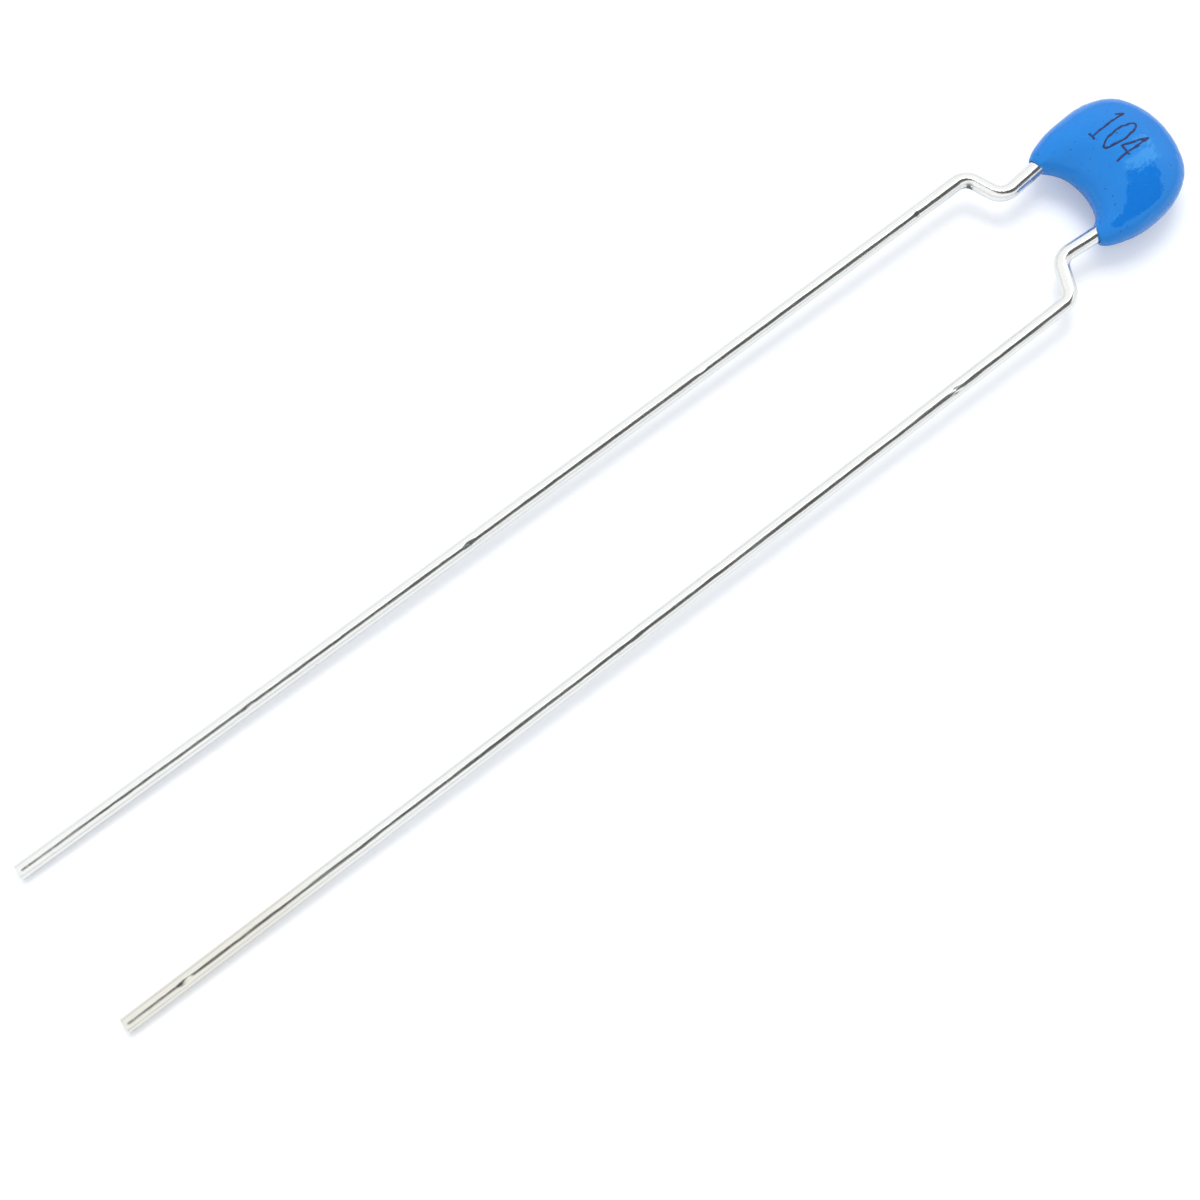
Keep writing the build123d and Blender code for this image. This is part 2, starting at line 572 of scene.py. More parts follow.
@dataclass(frozen=True)
class TinnedWireFinish:
    """Bright tin on drawn wire, with die lines, scratches and dull places.

    Attributes:
        name: The material's name.
        stains: Places where tools or fingers have left a dark mark.
        warm_tip: The tip whose tin is slightly yellow, or None.
        tin: Its bright colour.
        dull: Its colour where it is dull.
        stain: Its colour in a dark mark.
        warm: Its yellowish colour.
        polish: Roughness on and off the die lines.
        grime_roughness: What grime adds to it.
        wobble_height: Height of the slow waves along the wire, in millimetres.
        scratch_height: Height of the scratches.
        line_height: Height of the die lines.
        dent_depth: Depth of the small dents.
    """

    name: str
    stains: tuple[Spot, ...] = ()
    warm_tip: Spot | None = None
    tin: Colour = (0.94, 0.95, 0.935)
    dull: Colour = (0.50, 0.52, 0.48)
    stain: Colour = (0.14, 0.1456, 0.1344)
    warm: Colour = (0.80, 0.76, 0.64)
    polish: tuple[float, float] = (0.14, 0.24)
    grime_roughness: float = 0.15
    wobble_height: float = 0.008
    scratch_height: float = 0.0015
    line_height: float = 0.0004
    dent_depth: float = 0.01

    def material(self) -> bpy.types.Material:
        """Build the material.

        Returns:
            The material.
        """
        surface = Surface(self.name)
        graph = surface.graph
        lines = surface.effect(EFFECTS.drawn_lines, Density=22.0, Length=6.0)[0]
        scratches = surface.effect(EFFECTS.drawn_lines, Density=7.0, Length=2.0)[0]
        wobble = surface.effect(EFFECTS.mottle, Scale=0.8, Detail=2.0, From=0.1, To=0.9)[0]
        grime = surface.effect(EFFECTS.mottle, Scale=5.0, Detail=5.0, From=0.62, To=0.8)[0]
        patches = surface.effect(EFFECTS.mottle, Scale=7.0, Detail=3.0, From=0.38, To=0.55)[0]
        dents = surface.effect(EFFECTS.speckle, Density=1.6, Radius=0.16, Share=0.22)
        tone = surface.tint(self.tin, lines, share=0.08, colour=self.dull)
        tone = surface.tint(tone, grime, share=0.25, colour=self.dull)
        tone = surface.tint(tone, dents[0], share=0.55, colour=self.dull)
        for spot in self.stains:
            tone = surface.tint(tone, surface.near(spot), patches, self.stain)
        if self.warm_tip is not None:
            tone = surface.tint(tone, surface.near(self.warm_tip), share=0.5, colour=self.warm)
        rough = graph.span(lines, 0.0, 1.0, *self.polish)
        rough = graph.math("ADD", rough, graph.math("MULTIPLY", grime, self.grime_roughness))
        normal = surface.bump(wobble, self.wobble_height)
        normal = surface.bump(scratches, self.scratch_height, normal)
        normal = surface.bump(lines, self.line_height, normal)
        normal = surface.bump(graph.math("SUBTRACT", 1.0, dents[1]), self.dent_depth, normal)
        surface.set(Base_Color=tone, Metallic=1.0, Roughness=rough, Normal=normal)
        return surface.material


@dataclass(frozen=True)
class PowderFinish:
    """A dry, fine-grained finish, such as fired ceramic, fired silver or solder.

    Attributes:
        name: The material's name.
        tone: Its main colour.
        shade: The colour of its grain.
        metallic: 1 for a metal.
        roughness: How matte it is.
        grain: Grains for each millimetre.
        relief: Depth of the grain in millimetres.
        spread: How far the roughness varies, up and down.
    """

    name: str
    tone: Colour
    shade: Colour
    metallic: float
    roughness: float
    grain: float
    relief: float
    spread: float = 0.1

    def material(self) -> bpy.types.Material:
        """Build the material.

        Returns:
            The material.
        """
        surface = Surface(self.name)
        graph = surface.graph
        grains = surface.effect(EFFECTS.mottle, Scale=self.grain, Detail=6.0, From=0.3, To=0.7)[0]
        pores = surface.effect(EFFECTS.speckle, Density=self.grain / 2, Radius=0.2, Share=0.3)
        tone = graph.mix(grains, self.tone, self.shade)
        tone = surface.tint(tone, pores[0], share=0.6, colour=self.shade)
        low, high = self.roughness - self.spread, self.roughness + self.spread
        rough = graph.span(grains, 0.0, 1.0, low, high)
        normal = surface.bump(grains, self.relief)
        normal = surface.bump(graph.math("SUBTRACT", 1.0, pores[1]), self.relief, normal)
        surface.set(Base_Color=tone, Metallic=self.metallic, Roughness=rough, Normal=normal)
        return surface.material


@dataclass(frozen=True)
class InkFinish:
    """Thin dark printing ink that has not covered evenly.

    Attributes:
        dark: The ink's colour where it is thick.
        thin: Its colour where the resin shows through.
        polish: Roughness where it is thick, and where it is thin.
        film_height: Height of its unevenness, in millimetres.
    """

    dark: Colour = (0.008, 0.014, 0.085)
    thin: Colour = (0.008, 0.065, 0.300)
    polish: tuple[float, float] = (0.35, 0.5)
    film_height: float = 0.002

    def material(self) -> bpy.types.Material:
        """Build the material.

        Returns:
            The material.
        """
        surface = Surface("marking_ink")
        worn = surface.effect(EFFECTS.mottle, Scale=8.0, Detail=4.0, From=0.45, To=0.7)[0]
        tone = surface.tint(self.dark, worn, share=0.8, colour=self.thin)
        rough = surface.graph.span(worn, 0.0, 1.0, *self.polish)
        normal = surface.bump(worn, self.film_height)
        surface.set(Base_Color=tone, Roughness=rough, Normal=normal)
        return surface.material


# The leads


@dataclass(frozen=True)
class Dent:
    """A small pressed place in a wire.

    Attributes:
        along: Its distance from the drawing's origin, along X.
        round_deg: Where it is round the wire, from +Y towards +Z.
        reach: Its length along the wire.
        depth: How deep it is.
    """

    FALL = 3.0
    FARTHEST = 2.0

    along: float
    round_deg: float
    reach: float
    depth: float

    def press(self, point: Vector, axis_y: float, radius: float) -> Vector:
        """How far it presses a point of the wire's surface in.

        Args:
            point: The point in the drawing, in millimetres.
            axis_y: Where the wire's axis lies there.
            radius: The wire's radius.

        Returns:
            The move, in millimetres.
        """
        angle = math.radians(self.round_deg)
        inward = Vector((0.0, -math.cos(angle), -math.sin(angle)))
        centre = Vector((self.along, axis_y, 0.0)) - inward * radius
        apart = (point - centre).length / self.reach
        if apart >= self.FARTHEST:
            return Vector()
        return inward * self.depth * math.exp(-self.FALL * apart * apart)


class WireBender:
    """Feeds a round wire out of a cut end and bends it, one stretch after another."""

    SIDES = 44
    BEND_STEP = math.radians(5.0)

    def __init__(self, name: str, start: Vector, heading: Vector, radius: float) -> None:
        """Cut the wire square and hold it at its start.

        Args:
            name: The wire's name.
            start: The middle of the cut end, in metres.
            heading: The way the wire will be fed.
            radius: The wire's radius, in metres.
        """
        self.at = start.copy()
        self.heading = heading.normalized()
        deselect()
        bpy.ops.mesh.primitive_circle_add(
            vertices=self.SIDES,
            radius=radius,
            fill_type="NGON",
            location=start,
            rotation=self.heading.to_track_quat("Z", "Y").to_euler(),
        )
        self.wire = added(name)
        bpy.ops.object.mode_set(mode="EDIT")
        bpy.ops.mesh.select_all(action="SELECT")

    def feed(self, length: float, step: float) -> None:
        """Feed a straight stretch.

        Args:
            length: Its length, in metres.
            step: The longest ring spacing, in metres.
        """
        rings = max(1, math.ceil(length / step))
        for _ in range(rings):
            move = {"value": self.heading * (length / rings)}
            bpy.ops.mesh.extrude_region_move(TRANSFORM_OT_translate=move)
        self.at += self.heading * length

    def bend(self, new_heading: Vector, radius: float) -> None:
        """Bend the wire to a new heading.

        Args:
            new_heading: The way it runs after the bend.
            radius: Radius of the bend on the wire's axis, in metres.
        """
        new_heading = new_heading.normalized()
        axis = self.heading.cross(new_heading).normalized()
        turn = self.heading.angle(new_heading)
        centre = self.at + axis.cross(self.heading) * radius
        bpy.ops.mesh.spin(
            steps=max(3, math.ceil(turn / self.BEND_STEP)),
            angle=-turn,
            center=centre,
            axis=axis,
            use_auto_merge=False,
        )
        self.at = centre + Matrix.Rotation(turn, 3, axis) @ (self.at - centre)
        self.heading = new_heading

    def cut(self) -> bpy.types.Object:
        """Cut the wire off where it is.

        Returns:
            The wire.
        """
        bpy.ops.mesh.select_all(action="SELECT")
        bpy.ops.mesh.remove_doubles(threshold=1e-7)
        bpy.ops.mesh.normals_make_consistent(inside=False)
        bpy.ops.object.mode_set(mode="OBJECT")
        settle(self.wire)
        return self.wire


@dataclass(frozen=True)
class Lead:
    """One kinked wire lead, from its cut tip to its end on the disc.

    Attributes:
        side: Which lead it is.
        tip_x: Where its tip is cut.
        kink_deg: Slope of its kink, from the lead's own axis.
        dents: Small pressed places.
        stains: Places with a dark mark, in the drawing.
        warm_tip: How far the tin is yellowish from the tip on, or 0.
        sway: How far the straight run bows sideways: at the tip, in its middle.
        sway_skew: How much more it bows on the tip's side of the middle.
        tip_spacing: Distance between the leads' axes at the cut tips.
        kink_spacing: The same where the kinks begin.
        root_spacing: The same where they end.
        reach: Where the kinks end, along the drawing.
        kink_length: How far before that the bow has ended.
        outer_bend: Radius of the bend where the kink begins, on the wire's axis.
        inner_bend: Radius of the bend where it ends.
        root_splay_deg: How far the leads open again towards the head.
        root_run: Bare wire between the kink and the coating's leg.
        rise_start: From the leg's tip to where the wire rises inside it.
        landing_bend: Radius of the two bends inside the coating.
        landing_deg: Where the wire crosses the disc's rim, from +X.
        landing_radius: Distance of that place from the disc's middle.
        disc_x: The disc's middle, along the drawing.
        wire_height: Height of the wire's axis over its face of the disc.
        contact: The wire's end, from the disc's middle.
        ring_step: The longest stretch between two rings of the mesh.
        burr: Width of the rounded rim at the cut tip.
    """

    SMOOTH_ANGLE = math.radians(40)

    side: Side
    tip_x: float
    kink_deg: float
    dents: tuple[Dent, ...] = ()
    stains: tuple[tuple[float, float, float], ...] = ()
    warm_tip: float = 0.0
    sway: tuple[float, float] = (0.041, -0.040)
    sway_skew: float = 0.35
    tip_spacing: float = 5.14
    kink_spacing: float = 4.86
    root_spacing: float = 2.47
    reach: float = 33.79
    kink_length: float = 0.8
    outer_bend: float = 0.5
    inner_bend: float = 0.52
    root_splay_deg: float = 4.5
    root_run: float = 1.48
    rise_start: float = 0.45
    landing_bend: float = 0.5
    landing_deg: float = 116.0
    landing_radius: float = 1.31
    disc_x: float = 37.34
    wire_height: float = 0.545
    contact: tuple[float, float] = (0.6, 0.25)
    ring_step: float = 0.14
    burr: float = 0.018

    @property
    def node(self) -> str:
        """Name of the lead's own node in the frame."""
        return f"lead_{self.side.word}"

    def corners(self) -> list[Vector]:
        """Corners of the lead's axis in the drawing, in millimetres.

        Returns:
            The corners, from the cut tip to the end on the disc.
        """
        sign = self.side.value
        slope = math.tan(math.radians(self.root_splay_deg))
        kink_drop = (self.kink_spacing - self.root_spacing) / 2
        kink_run = kink_drop / math.tan(math.radians(self.kink_deg))
        rise = self.root_run + self.rise_start
        landing = math.radians(self.landing_deg)
        flat = [
            (self.tip_x, self.tip_spacing / 2, 0.0),
            (self.reach - kink_run, self.kink_spacing / 2, 0.0),
            (self.reach, self.root_spacing / 2, 0.0),
            (self.reach + rise, self.root_spacing / 2 + rise * slope, 0.0),
            (
                self.disc_x + self.landing_radius * math.cos(landing),
                self.landing_radius * math.sin(landing),
                sign * self.wire_height,
            ),
            (self.disc_x + self.contact[0], self.contact[1], sign * self.wire_height),
        ]
        return [Vector((x, sign * y, z)) for x, y, z in flat]

    def bow(self, x: float) -> float:
        """Sideways bow of the straight run, which ends where the kink begins.

        Args:
            x: Place along the drawing, in millimetres.

        Returns:
            How far the axis lies towards +Y, in millimetres.
        """
        share = min(max(x / (self.reach - self.kink_length), 0.0), 1.0)
        at_tip, at_middle = self.sway
        skew = 1 - share * self.sway_skew
        return at_tip * (1 - share) ** 2 + 4 * at_middle * share * (1 - share) * skew

    def bend_wire(self, posture: Posture, radius: float) -> bpy.types.Object:
        """Bend the wire along its corners.

        Args:
            posture: How the drawing lies on the table.
            radius: The wire's radius, in millimetres.

        Returns:
            The wire.
        """
        points = [posture.place(corner) for corner in self.corners()]
        radii = [self.outer_bend, self.inner_bend, self.landing_bend, self.landing_bend]
        bender = WireBender(f"{self.node}_wire", points[0], points[1] - points[0], radius * MM)
        for index, bend in enumerate(radii, start=1):
            onward = points[index + 1] - points[index]
            turn = (points[index] - points[index - 1]).angle(onward)
            used = bend * MM * math.tan(turn / 2)
            bender.feed((points[index] - bender.at).length - used, self.ring_step * MM)
            bender.bend(onward, bend * MM)
        bender.feed((points[-1] - bender.at).length, self.ring_step * MM)
        return bender.cut()

    def shape(self, wire: bpy.types.Object, posture: Posture, radius: float) -> None:
        """Press the dents in and let the straight run bow.

        Args:
            wire: The bent wire.
            posture: How the drawing lies on the table.
            radius: The wire's radius, in millimetres.
        """
        sign = self.side.value
        half_slope = (self.kink_spacing - self.tip_spacing) / 2 / self.reach
        for vertex in wire.data.vertices:
            drawn = posture.drawn(vertex.co)
            axis_y = sign * (self.tip_spacing / 2 + half_slope * drawn.x)
            for dent in self.dents:
                drawn += dent.press(drawn, axis_y, radius)
            drawn.y += self.bow(drawn.x)
            vertex.co = posture.place(drawn)

    def cut_tip(self, wire: bpy.types.Object, posture: Posture) -> None:
        """Round the rim of the cut tip slightly.

        Args:
            wire: The wire.
            posture: How the drawing lies on the table.
        """
        pick(wire)
        tip = posture.place(Vector((self.tip_x, 0.0, 0.0))).x
        bpy.ops.object.mode_set(mode="EDIT")
        bpy.ops.mesh.select_mode(type="FACE")
        bpy.ops.mesh.select_all(action="DESELECT")
        mesh = bmesh.from_edit_mesh(wire.data)
        for face in mesh.faces:
            by_tip = abs(face.calc_center_median().x - tip) < MM
            face.select_set(by_tip and len(face.verts) == WireBender.SIDES)
        bmesh.update_edit_mesh(wire.data)
        bpy.ops.mesh.bevel(offset=self.burr * MM, segments=2, affect="EDGES")
        bpy.ops.mesh.select_mode(type="VERT")
        bpy.ops.object.mode_set(mode="OBJECT")

    def build(self, posture: Posture, radius: float) -> bpy.types.Object:
        """Build the lead and put it in its node's place.

        Args:
            posture: How the drawing lies on the table.
            radius: The wire's radius, in millimetres.

        Returns:
            The finished lead.
        """
        wire = self.bend_wire(posture, radius)
        self.shape(wire, posture, radius)
        self.cut_tip(wire, posture)
        pick(wire)
        bpy.ops.object.shade_smooth_by_angle(angle=self.SMOOTH_ANGLE)
        spots = tuple(
            Spot(posture.place(Vector((x, y, 0.0))) / MM, reach) for x, y, reach in self.stains
        )
        warm = None
        if self.warm_tip:
            warm = Spot(posture.place(self.corners()[0]) / MM, self.warm_tip)
        finish = TinnedWireFinish(f"tinned_wire_{self.side.word}", stains=spots, warm_tip=warm)
        wire.data.materials.append(finish.material())
        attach(wire, BODY)
        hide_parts(self.node)
        return wire


# The dipped head


@dataclass(frozen=True)
class DippedHead:
    """The resin coating: the dipped body with its two legs and the arch between them.

    Attributes:
        voxel: Size of the mesh, in millimetres.
        end_lean: How far the far end leans towards +Y.
        belly: How much fuller the -Y side is than the other.
        belly_rise: Share of the half width over which it comes in.
        belly_onward: How far it also pushes the far end on, as a share.
        lean_from: Where the lean begins, along the drawing.
        lean_before: How far before the middle it begins, as a share of the half width.
        end_x: The far end of the head.
        shoulder_fill: How far the shoulders stand out past a round end.
        shoulder_at: Where a shoulder is, as a share of the half width.
        shoulder_reach: How far it reaches, as a share too.
        unevenness: How far the skin wanders in and out.
        wander_scales: How close its slow and its quick waves are.
        quick_share: How strong the quick ones are.
        held: The skin doesn't move this near to an inner piece.
        freed: Distance past that over which it becomes free to.
        edge_runs: How far the coating creeps out along each wire.
        edge_slants: How much farther it does so along the wire's outer side.
        edge_reach: How much of a leg takes part.
        leg_tip_x: Where the legs end, along the drawing.
        leg_y: Distance of each leg's wire from the middle.
        leg_half_width: Half the width of a leg's tip.
        arch_centre_x: Middle of the arch between the legs.
        arch_radius: The arch's radius at half the head's height.
        arch_slope: How far the arch slopes back into the head at full height.
        half_thickness: Half the head's thickness.
        half_width: Half its width.
        brow_reach: How far from the arch's upper edge the brow is rounded.
        brow_from: Height over the head's middle at which the brow begins.
        brow_rise: Height over which it comes in.
        brow_passes: How often it is smoothed.
        smooth_passes: How often the whole skin is smoothed.
    """

    # A shoulder stands out by this share along X, and by the same across
    SHOULDER_SLANT = 0.7

    voxel: float = 0.036
    end_lean: float = 0.17
    belly: float = 0.085
    belly_rise: float = 0.6
    belly_onward: float = 0.3
    lean_from: float = 36.6
    lean_before: float = 0.5
    end_x: float = 38.89
    shoulder_fill: float = 0.06
    shoulder_at: float = 0.72
    shoulder_reach: float = 0.22
    unevenness: float = 0.02
    wander_scales: tuple[float, float] = (0.9, 2.3)
    quick_share: float = 0.4
    held: float = 0.02
    freed: float = 0.26
    edge_runs: tuple[float, float] = (0.12, 0.18)
    edge_slants: tuple[float, float] = (0.02, 0.09)
    edge_reach: float = 0.55
    leg_tip_x: float = 35.27
    leg_y: float = 1.35
    leg_half_width: float = 0.285
    arch_centre_x: float = 33.88
    arch_radius: float = 1.82
    arch_slope: float = 1.2
    half_thickness: float = 1.1
    half_width: float = 2.035
    brow_reach: float = 1.3
    brow_from: float = 0.45
    brow_rise: float = 0.25
    brow_passes: int = 480
    smooth_passes: int = 8

    def inner_tree(self) -> BVHTree:
        """Search tree over all that lies inside the coating.

        Returns:
            The tree, in metres.
        """
        corners: list[Vector] = []
        faces: list[tuple[int, ...]] = []
        for name, node in frame["nodes"].items():
            if name == "epoxy_coating":
                continue
            start = len(corners)
            corners += [vertex.co.copy() for vertex in node.data.vertices]
            rings = [face.vertices for face in node.data.polygons]
            faces += [tuple(start + index for index in ring) for ring in rings]
        return BVHTree.FromPolygons(corners, faces)

    def skin(self) -> bpy.types.Object:
        """Copy the coating's solid and give it an even, fine mesh.

        Returns:
            The new piece.
        """
        solid = frame["nodes"]["epoxy_coating"]
        skin = bpy.data.objects.new("epoxy_coating_skin", solid.data.copy())
        skin.data.materials.clear()
        bpy.context.scene.collection.objects.link(skin)
        pick(skin)
        bpy.ops.object.mode_set(mode="EDIT")
        bpy.ops.mesh.select_all(action="SELECT")
        bpy.ops.mesh.remove_doubles(threshold=1e-6)
        bpy.ops.object.mode_set(mode="OBJECT")
        remesh = skin.modifiers.new("even_mesh", "REMESH")
        remesh.mode = "VOXEL"
        remesh.voxel_size = self.voxel * MM
        relax = skin.modifiers.new("relax", "SMOOTH")
        relax.factor = 0.5
        relax.iterations = self.smooth_passes
        apply_all(skin)
        return skin

    def soften_brow(self, skin: bpy.types.Object, posture: Posture) -> None:
        """Round off the brow, where the faces of the head turn down to the arch.

        Args:
            skin: The coating's skin.
            posture: How the drawing lies on the table.
        """
        brow = skin.vertex_groups.new(name="brow")
        for vertex in skin.data.vertices:
            drawn = posture.drawn(vertex.co)
            from_arch = math.hypot(drawn.x - self.arch_centre_x, drawn.y) - self.arch_radius
            from_arch -= self.arch_slope * (drawn.z / self.half_thickness) ** 2
            share = 1.0 - smooth_step(abs(from_arch) / self.brow_reach)
            share *= smooth_step((abs(drawn.z) - self.brow_from) / self.brow_rise)
            if share > 0.0:
                brow.add([vertex.index], share, "REPLACE")
        relax = skin.modifiers.new("relax_brow", "SMOOTH")
        relax.factor = 0.5
        relax.iterations = self.brow_passes
        relax.vertex_group = brow.name
        apply_all(skin)

    def lean(self, drawn: Vector) -> Vector:
        """How the far end of the dip departs from a round one.

        Args:
            drawn: A point of the skin in the drawing, in millimetres.

        Returns:
            The move at that point, in millimetres.
        """
        share = smooth_step((drawn.x - self.lean_from) / (self.end_x - self.lean_from))
        across = drawn.y / self.half_width
        corner = math.exp(-((abs(across) - self.shoulder_at) / self.shoulder_reach) ** 2)
        push = self.SHOULDER_SLANT * self.shoulder_fill * corner * share
        full = self.belly * smooth_step(-across / self.belly_rise)
        aside = self.end_lean * share * smooth_step(across + self.lean_before) - full
        onward = self.belly_onward * full * share
        return Vector((onward + push, aside + math.copysign(push, across), 0.0))

    def edge(self, drawn: Vector) -> Vector:
        """How the coating's edge slants across each wire.

        Args:
            drawn: A point of the skin in the drawing, in millimetres.

        Returns:
            The move at that point, in millimetres.
        """
        share = smooth_step((self.leg_tip_x + self.edge_reach - drawn.x) / self.edge_reach)
        outward = (abs(drawn.y) - self.leg_y) / self.leg_half_width
        which = 0 if drawn.y > 0.0 else 1
        run = self.edge_runs[which] + self.edge_slants[which] * outward
        return Vector((-run * share, 0.0, 0.0))

    def shape(self, skin: bpy.types.Object, posture: Posture) -> None:
        """Make the perfect form uneven, as a dip leaves it, and keep what lies inside clear.

        Args:
            skin: The coating's skin.
            posture: How the drawing lies on the table.
        """
        inner = self.inner_tree()
        slow, quick = self.wander_scales
        normals = [vertex.normal.copy() for vertex in skin.data.vertices]
        for vertex, normal in zip(skin.data.vertices, normals):
            distance = inner.find_nearest(vertex.co)[3] / MM
            freedom = smooth_step((distance - self.held) / self.freed)
            drawn = posture.drawn(vertex.co)
            wander = noise.noise(drawn * slow) + self.quick_share * noise.noise(drawn * quick)
            outward = normal * self.unevenness * wander
            move = (self.lean(drawn) + outward) * freedom + self.edge(drawn)
            vertex.co = posture.place(drawn + move)
        skin.data.update()

    def build(self, posture: Posture) -> bpy.types.Object:
        """Build the coating and put it in its node's place.

        Args:
            posture: How the drawing lies on the table.

        Returns:
            The finished coating.
        """
        skin = self.skin()
        self.soften_brow(skin, posture)
        self.shape(skin, posture)
        pick(skin)
        bpy.ops.object.shade_smooth()
        skin.data.materials.append(DippedResinFinish().material())
        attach(skin, BODY)
        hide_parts("epoxy_coating")
        return skin


# The inner cell


@dataclass(frozen=True)
class InnerCell:
    """The disc, its silver faces and the solder, which the coating hides."""

    ceramic: PowderFinish = PowderFinish(
        "fired_ceramic", (0.62, 0.55, 0.44), (0.50, 0.43, 0.33), 0.0, 0.65, 14.0, 0.002
    )
    silver: PowderFinish = PowderFinish(
        "fired_silver", (0.86, 0.85, 0.82), (0.66, 0.65, 0.62), 1.0, 0.45, 22.0, 0.001
    )
    solder: PowderFinish = PowderFinish(
        "solder_metal", (0.74, 0.75, 0.77), (0.58, 0.59, 0.61), 1.0, 0.3, 6.0, 0.003
    )

    def dress(self) -> None:
        """Give each inner node its finish."""
        finishes = {
            self.ceramic: ["ceramic_disc"],
            self.silver: ["electrode_front", "electrode_back"],
            self.solder: ["solder_front", "solder_back"],
        }
        for finish, names in finishes.items():
            material = finish.material()
            for name in names:
                node = frame["nodes"][name]
                node.data.materials.clear()
                node.data.materials.append(material)


# The marking


@dataclass(frozen=True)
class Marking:
    """A plain number in thin ink strokes, laid onto the head.

    Attributes:
        text: Its digits.
        centre: The middle of the row, in the drawing.
        height: Height of a digit, which points towards +X.
        width: Width of a digit.
        pitch: From one digit to the next, towards -Y.
        stroke: Width of a stroke.
        step: The longest run between two points of a stroke.
        shake: How far the strokes wander.
        shake_scale: How quickly they do so.
        blot: How much their width varies, as a share.
        blot_scale: How quickly it does so.
        film: How far the ink stands out from the resin.
        round_share: Share of that which rounds the stroke's back.
        hover: Height at which the strokes are drawn before they are laid down.
        ring_steps: Number of stretches in a round stroke.
    """

    text: str = "104"
    centre: tuple[float, float] = (37.30, 0.35)
    height: float = 1.25
    width: float = 0.36
    pitch: float = 0.49
    stroke: float = 0.064
    step: float = 0.03
    shake: float = 0.028
    shake_scale: float = 5.0
    blot: float = 0.55
    blot_scale: float = 6.0
    film: float = 0.008
    round_share: float = 0.6
    hover: float = 1.5
    ring_steps: int = 20

    def strokes(self, digit: str) -> list[list[tuple[float, float]]]:
        """Lines of one digit, in shares of its width and height.

        Args:
            digit: The digit.

        Returns:
            Its strokes, each a row of points.
        """
        turns = [math.tau * step / self.ring_steps for step in range(self.ring_steps + 1)]
        ring = [(0.5 + 0.5 * math.sin(turn), 0.5 - 0.5 * math.cos(turn)) for turn in turns]
        drawn = {
            "0": [ring],
            "1": [[(0.12, 0.82), (0.5, 1.0), (0.5, 0.0)], [(0.15, 0.0), (0.85, 0.0)]],
            "4": [[(0.72, 0.0), (0.72, 1.0), (0.0, 0.32), (1.0, 0.32)]],
        }
        return drawn[digit]

    def on_head(self, index: int, point: tuple[float, float]) -> tuple[float, float]:
        """Place a point of a digit on the drawing.

        Args:
            index: The digit's place in the row.
            point: The point, in shares of the digit's width and height.

        Returns:
            X and Y in the drawing, in millimetres.
        """
        across = (point[0] - 0.5) * self.width + (index - (len(self.text) - 1) / 2) * self.pitch
        up = (point[1] - 0.5) * self.height
        return self.centre[0] + up, self.centre[1] - across

    def fine(self, corners: list[tuple[float, float]]) -> list[Vector]:
        """Walk along a stroke in short steps, with the shake of a stamp that was inked by hand.

        Args:
            corners: The stroke's corners in the drawing.

        Returns:
            Its points, at the height where strokes are drawn.
        """
        points = []
        for (from_x, from_y), (to_x, to_y) in zip(corners, corners[1:]):
            steps = max(1, math.ceil(math.hypot(to_x - from_x, to_y - from_y) / self.step))
            for step in range(steps + 1):
                share = step / steps
                x = from_x + (to_x - from_x) * share
                y = from_y + (to_y - from_y) * share
                spot = Vector((x, y, 0.0))
                wander = noise.noise_vector(spot * self.shake_scale) * self.shake
                points.append(Vector((spot.x + wander.x, spot.y + wander.y, self.hover)))
        return points

    def build(self, posture: Posture, head: bpy.types.Object) -> bpy.types.Object:
        """Draw the strokes over the head and lay them onto its skin.

        Args:
            posture: How the drawing lies on the table.
            head: The coating.

        Returns:
            The finished marking.
        """
        curve = bpy.data.curves.new("marking_strokes", "CURVE")
        curve.dimensions = "3D"
        curve.bevel_depth = self.stroke / 2 * MM
        curve.bevel_resolution = 2
        curve.use_fill_caps = True
        for index, digit in enumerate(self.text):
            for stroke in self.strokes(digit):
                points = self.fine([self.on_head(index, share) for share in stroke])
                spline = curve.splines.new("POLY")
                spline.points.add(len(points) - 1)
                for knot, point in zip(spline.points, points):
                    knot.co = (*posture.place(point), 1.0)
                    knot.radius = 1.0 + self.blot * noise.noise(point * self.blot_scale)
        ink = bpy.data.objects.new("marking_digits", curve)
        bpy.context.scene.collection.objects.link(ink)
        pick(ink)
        bpy.ops.object.convert(target="MESH")
        self.lay_on(ink, posture, head)
        ink.data.materials.append(InkFinish().material())
        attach(ink, BODY)
        return ink

    def lay_on(self, ink: bpy.types.Object, posture: Posture, head: bpy.types.Object) -> None:
        """Flatten the strokes onto the skin, a film's thickness proud of it.

        Args:
            ink: The strokes, floating above the head.
            posture: How the drawing lies on the table.
            head: The coating.
        """
        tree = BVHTree.FromObject(head, bpy.context.evaluated_depsgraph_get())
        down = Vector((0.0, 0.0, -1.0))
        for vertex in ink.data.vertices:
            height = (posture.drawn(vertex.co).z - self.hover) / (self.stroke / 2)
            hit, normal = tree.ray_cast(vertex.co, down)[:2]
            if hit is not None:
                lift = 1.0 - self.round_share + self.round_share * height
                vertex.co = hit + normal * lift * self.film * MM
        ink.data.update()


# The studio


